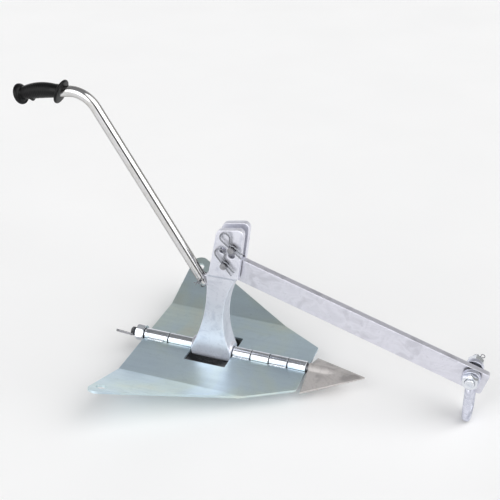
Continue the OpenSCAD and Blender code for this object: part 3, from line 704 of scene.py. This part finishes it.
cotter("shackle_cotter_pin", 23.0, 3.6, 5.0, Matrix.Translation((0, snut_y1 + 7.0, 0)) @ turn_y(-45) @ flip
       @ Matrix.Translation((-12.0, 0, 0)), SHACKLE, "shackle", "shackle_split_pin")

# ---------- handle ----------

LEAN = math.radians(32.4)
BEND = math.radians(67.8)
TUBE_R, TUBE_WALL, TUBE_TAIL, TUBE_BEND_R = 11.0, 2.0, 16.0, 60.0
SLOT_TOP = 36.0
straight = 455.0 - TUBE_BEND_R * math.tan(BEND / 2)
# Rows of the tube: length, distance along the straight, turn of the bend, distance past the bend.
ridge = [(-TUBE_TAIL, -TUBE_TAIL, 0.0, 0.0)]
ridge += [(s, s, 0.0, 0.0) for s in (-8, 0, 12, 24, SLOT_TOP)]
ridge += [(SLOT_TOP + (straight - SLOT_TOP) * k / 24,) * 2 + (0.0, 0.0) for k in range(1, 25)]
ridge += [(straight + TUBE_BEND_R * BEND * k / 36, straight, BEND * k / 36, 0.0) for k in range(1, 37)]
ridge += [(straight + TUBE_BEND_R * BEND + 19.0 * k, straight, BEND, 19.0 * k) for k in range(1, 6)]
verts, around, seg = [], [], 72
for s, run, turned_by, past in ridge:
    centre = Vector((-math.sin(LEAN), 0, math.cos(LEAN))) * run
    side = Vector((-math.cos(LEAN), 0, -math.sin(LEAN)))
    out_a = LEAN + turned_by
    normal = Vector((math.cos(out_a), 0, math.sin(out_a)))
    heading = Vector((-math.sin(out_a), 0, math.cos(out_a)))
    centre += side * TUBE_BEND_R + normal * TUBE_BEND_R + heading * past
    for j in range(seg):
        a = 2 * math.pi * j / seg
        verts.append(centre + (normal * math.cos(a) + Vector((0, 1, 0)) * math.sin(a)) * TUBE_R)
        around.append((math.cos(a), math.sin(a), s / 60.0))
slot_half = 5  # columns of faces left out, each side of the slot's middle
faces = [f for f in grid_faces(len(ridge), seg, False)
         if ridge[f[3] // seg][0] > SLOT_TOP or (f[0] + slot_half) % (seg // 2) >= 2 * slot_half]
mesh = bpy.data.meshes.new("handle_tube")
mesh.from_pydata([LUG + v * MM for v in verts], [], faces)
attribute = mesh.attributes.new("around", "FLOAT_VECTOR", "POINT")
attribute.data.foreach_set("vector", [c for v in around for c in v])
ob = piece("handle_bent_tube", mesh, TUBE, "handle", ["handle_tube"])
m = ob.modifiers.new("wall", "SOLIDIFY")
m.thickness = TUBE_WALL * MM
m.offset = -1.0

cotter("handle_cotter_pin", 15.0, 2.8, 5.6, Matrix.Translation((0, -16.0, 0)) @ turn_y(-37) @ flip
       @ Matrix.Translation((-7.0, 0, 0)), LUG, "handle", "handle_split_pin")

GRIP_A = math.radians(190.2)
axis = Vector((math.cos(GRIP_A), 0, math.sin(GRIP_A)))
up = Vector((math.sin(GRIP_A), 0, -math.cos(GRIP_A)))
knob = LUG / MM + Vector((-393.9, 0, 357.2))  # middle of the knob
GRIP = 97.0  # from the flange's middle to the knob's


def grip_ring(s, a):
    """Half width, half height and rise of the grip at s mm from the flange, in the direction a."""
    t = s / GRIP
    arch = 5.4 * (1 - (2 * t - 1) ** 2)
    high = 13.4 + 2.9 * math.sin(math.pi * min(1, max(0, t))) ** 1.2
    wide = 13.2 + 1.6 * math.sin(math.pi * min(1, max(0, t)))
    ribs = 0.0
    if 14 < s < 82:
        fade = min(1.0, (s - 14) / 8, (82 - s) / 8)
        ribs = 0.32 * fade * math.cos(2 * math.pi * s / 4.4) * abs(math.cos(a)) ** 0.5
    under = max(0.0, -math.sin(a))
    nub = 5.0 * math.exp(-((s - 69.5) / 4.0) ** 2) * under ** 5
    r_extra = ribs + nub
    return (wide + r_extra) * math.cos(a), (high + r_extra) * math.sin(a) + arch


verts, rows, seg = [], 0, 72
slant = math.radians(29)
for k in range(-3, 6):  # rounded flange with a slanting face
    b = math.pi * (k + 3) / 8
    for j in range(seg):
        a = 2 * math.pi * j / seg
        r = 22.6 + 3.2 * math.sin(b)
        thick = -3.2 * math.cos(b)
        verts.append((r * math.cos(a), thick * math.cos(slant) - r * math.sin(a) * math.sin(slant),
                      r * math.sin(a) * math.cos(slant) + thick * math.sin(slant)))
    rows += 1
for k in range(1, 7):  # fillet from the flange to the body
    f = k / 7
    for j in range(seg):
        a = 2 * math.pi * j / seg
        s = 3.2 + 9.0 * f
        y, z = grip_ring(s, a)
        r = 22.8 * (1 - f) ** 2.6
        grow = 1 + max(0.0, (r - 13.4)) / 13.4 * (1 - f)
        z_lift = z * grow
        verts.append((y * grow, s - (1 - f) ** 1.5 * z_lift * math.tan(slant), z_lift))
    rows += 1
for k in range(0, 150):
    s = 12.4 + (GRIP - 8.6 - 12.4) * k / 149
    for j in range(seg):
        a = 2 * math.pi * j / seg
        y, z = grip_ring(s, a)
        verts.append((y, s, z))
    rows += 1
for k in range(0, 19):  # round knob
    b = math.pi * k / 18
    edge = 15.3 + 6.2 * math.sin(b) ** 0.8 if k < 10 else (21.5 * math.sin(b) ** 0.42)
    for j in range(seg):
        a = 2 * math.pi * j / seg
        r = max(0.4, edge)
        lean = 0.14 * r * math.sin(a)
        verts.append((r * math.cos(a), GRIP - 6.6 * math.cos(b) + lean * min(1.0, k / 4), r * math.sin(a)))
    rows += 1
spun = []
for y, s, z in verts:
    spun.append((knob + axis * (s - GRIP) + up * z + Vector((0, y, 0))) * MM)
piece("handle_rubber_grip", raw_mesh("handle_grip", spun, grid_faces(rows, seg, True)), RUBBER, "handle",
      ["handle_grip"], 60)

# ---------- studio ----------

scene = bpy.context.scene
scene.view_settings.view_transform = "Standard"
scene.view_settings.look = "None"

mesh = bpy.data.meshes.new("floor")
S = 14.0
mesh.from_pydata([(-S, -S, 0), (S, -S, 0), (S, S, 0), (-S, S, 0)], [], [(0, 1, 2, 3)])
floor = bpy.data.objects.new("studio_floor", mesh)
floor.location.z = cad_box[0][2] - 0.0003
scene.collection.objects.link(floor)
paper = Look("white_paper", Roughness=0.9, Specular_IOR_Level=0.1)
white = paper.ramp(paper.noise(3, 2), [(0.3, (0.94, 0.94, 0.94, 1)), (0.7, (0.96, 0.96, 0.96, 1))])
# The paper's colour carries a painted shadow: near black below the boss, and wherever the anchor hangs close
# over the floor.
under = HINGE + Vector((-0.025, 0.055, 0))  # the deepest shade, below the boss
apart = paper.vector(paper.coord, (under.x, under.y, 0), "DISTANCE").outputs["Value"]
shade = paper.maths(paper.remap(apart, 0.062, 0.112, 0.0, 1.0),
                    paper.remap(paper.occlusion(0.11), 0.50, 0.74, 0.0, 1.0), "MAXIMUM")
paper.set("Base Color", paper.mix(shade, (0.05, 0.05, 0.053, 1), white))
mesh.materials.append(paper.mat)

# The room: bright at the horizon and darker overhead, with three dark screens standing in it.
SKY = [(0.0, 1.05), (0.10, 1.0), (0.26, 0.82), (0.42, 0.60), (0.49, 0.48), (0.58, 0.32), (0.75, 0.19),
       (1.0, 0.22)]
SCREENS = [(-57, 11, 4, 0.04), (48, 24, 14, 0.34), (165, 8, 7, 0.25)]  # azimuth, half width, soft edge, shade
world = bpy.data.worlds.new("studio")
scene.world = world
world.use_nodes = True
room = Nodes(world.node_tree)
background = world.node_tree.nodes["Background"]
ray = room.node("ShaderNodeTexCoord", {}).outputs["Generated"]
height = room.node("ShaderNodeSeparateXYZ", {0: ray}).outputs["Z"]
colour = room.ramp(height, [(at, (v, v, 1.01 * v, 1)) for at, v in SKY])
level = room.node("ShaderNodeVectorMath", {0: room.vector(ray, (1, 1, 0), "MULTIPLY").outputs[0]},
                  operation="NORMALIZE").outputs[0]
for azimuth, half, edge, shade in SCREENS:
    facing = (math.cos(math.radians(azimuth)), math.sin(math.radians(azimuth)), 0)
    towards = room.vector(level, facing, "DOT_PRODUCT").outputs["Value"]
    band = room.remap(towards, math.cos(math.radians(half + edge)), math.cos(math.radians(half)), 0.0, 1.0)
    low = room.remap(height, 0.62, 0.42, 0.0, 1.0)
    colour = room.mix(room.maths(band, low, "MULTIPLY"), colour, (shade, shade, shade * 0.96, 1))
room.plug(background, {"Color": colour, "Strength": 1.12})


def soft_sun(name, towards, angle, strength):
    """A large even softbox, far away in a direction."""
    data = bpy.data.lights.new(name, "SUN")
    data.angle = math.radians(angle)
    data.energy = strength
    ob = bpy.data.objects.new(name, data)
    ob.rotation_euler = Vector(towards).to_track_quat("Z", "Y").to_euler()
    scene.collection.objects.link(ob)


soft_sun("key_softbox", (-0.24, -0.82, 0.48), 50, 1.2)
soft_sun("side_softbox", (0.90, -0.02, 0.80), 70, 2.0)

# The camera stands where the photograph was taken from.
STAND = Vector((0.7116, -1.7211, 1.2765))  # from the hinge's middle
yaw, pitch, roll = math.radians(20.06), math.radians(29.03), math.radians(0.12)
cam = bpy.data.cameras.new("camera")
cam.sensor_width = 36.0
cam.lens = 74.32
cam.clip_end = 60.0
cam.dof.use_dof = False
view = bpy.data.objects.new("camera", cam)
look = Vector((-math.sin(yaw) * math.cos(pitch), math.cos(yaw) * math.cos(pitch), -math.sin(pitch)))
right = Vector((math.cos(yaw), math.sin(yaw), 0))
above = right.cross(look)
across = right * math.cos(roll) + above * math.sin(roll)
upward = above * math.cos(roll) - right * math.sin(roll)
view.matrix_world = Matrix.Translation(HINGE + STAND) @ Matrix((across, upward, -look)).transposed().to_4x4()
scene.collection.objects.link(view)
scene.camera = view
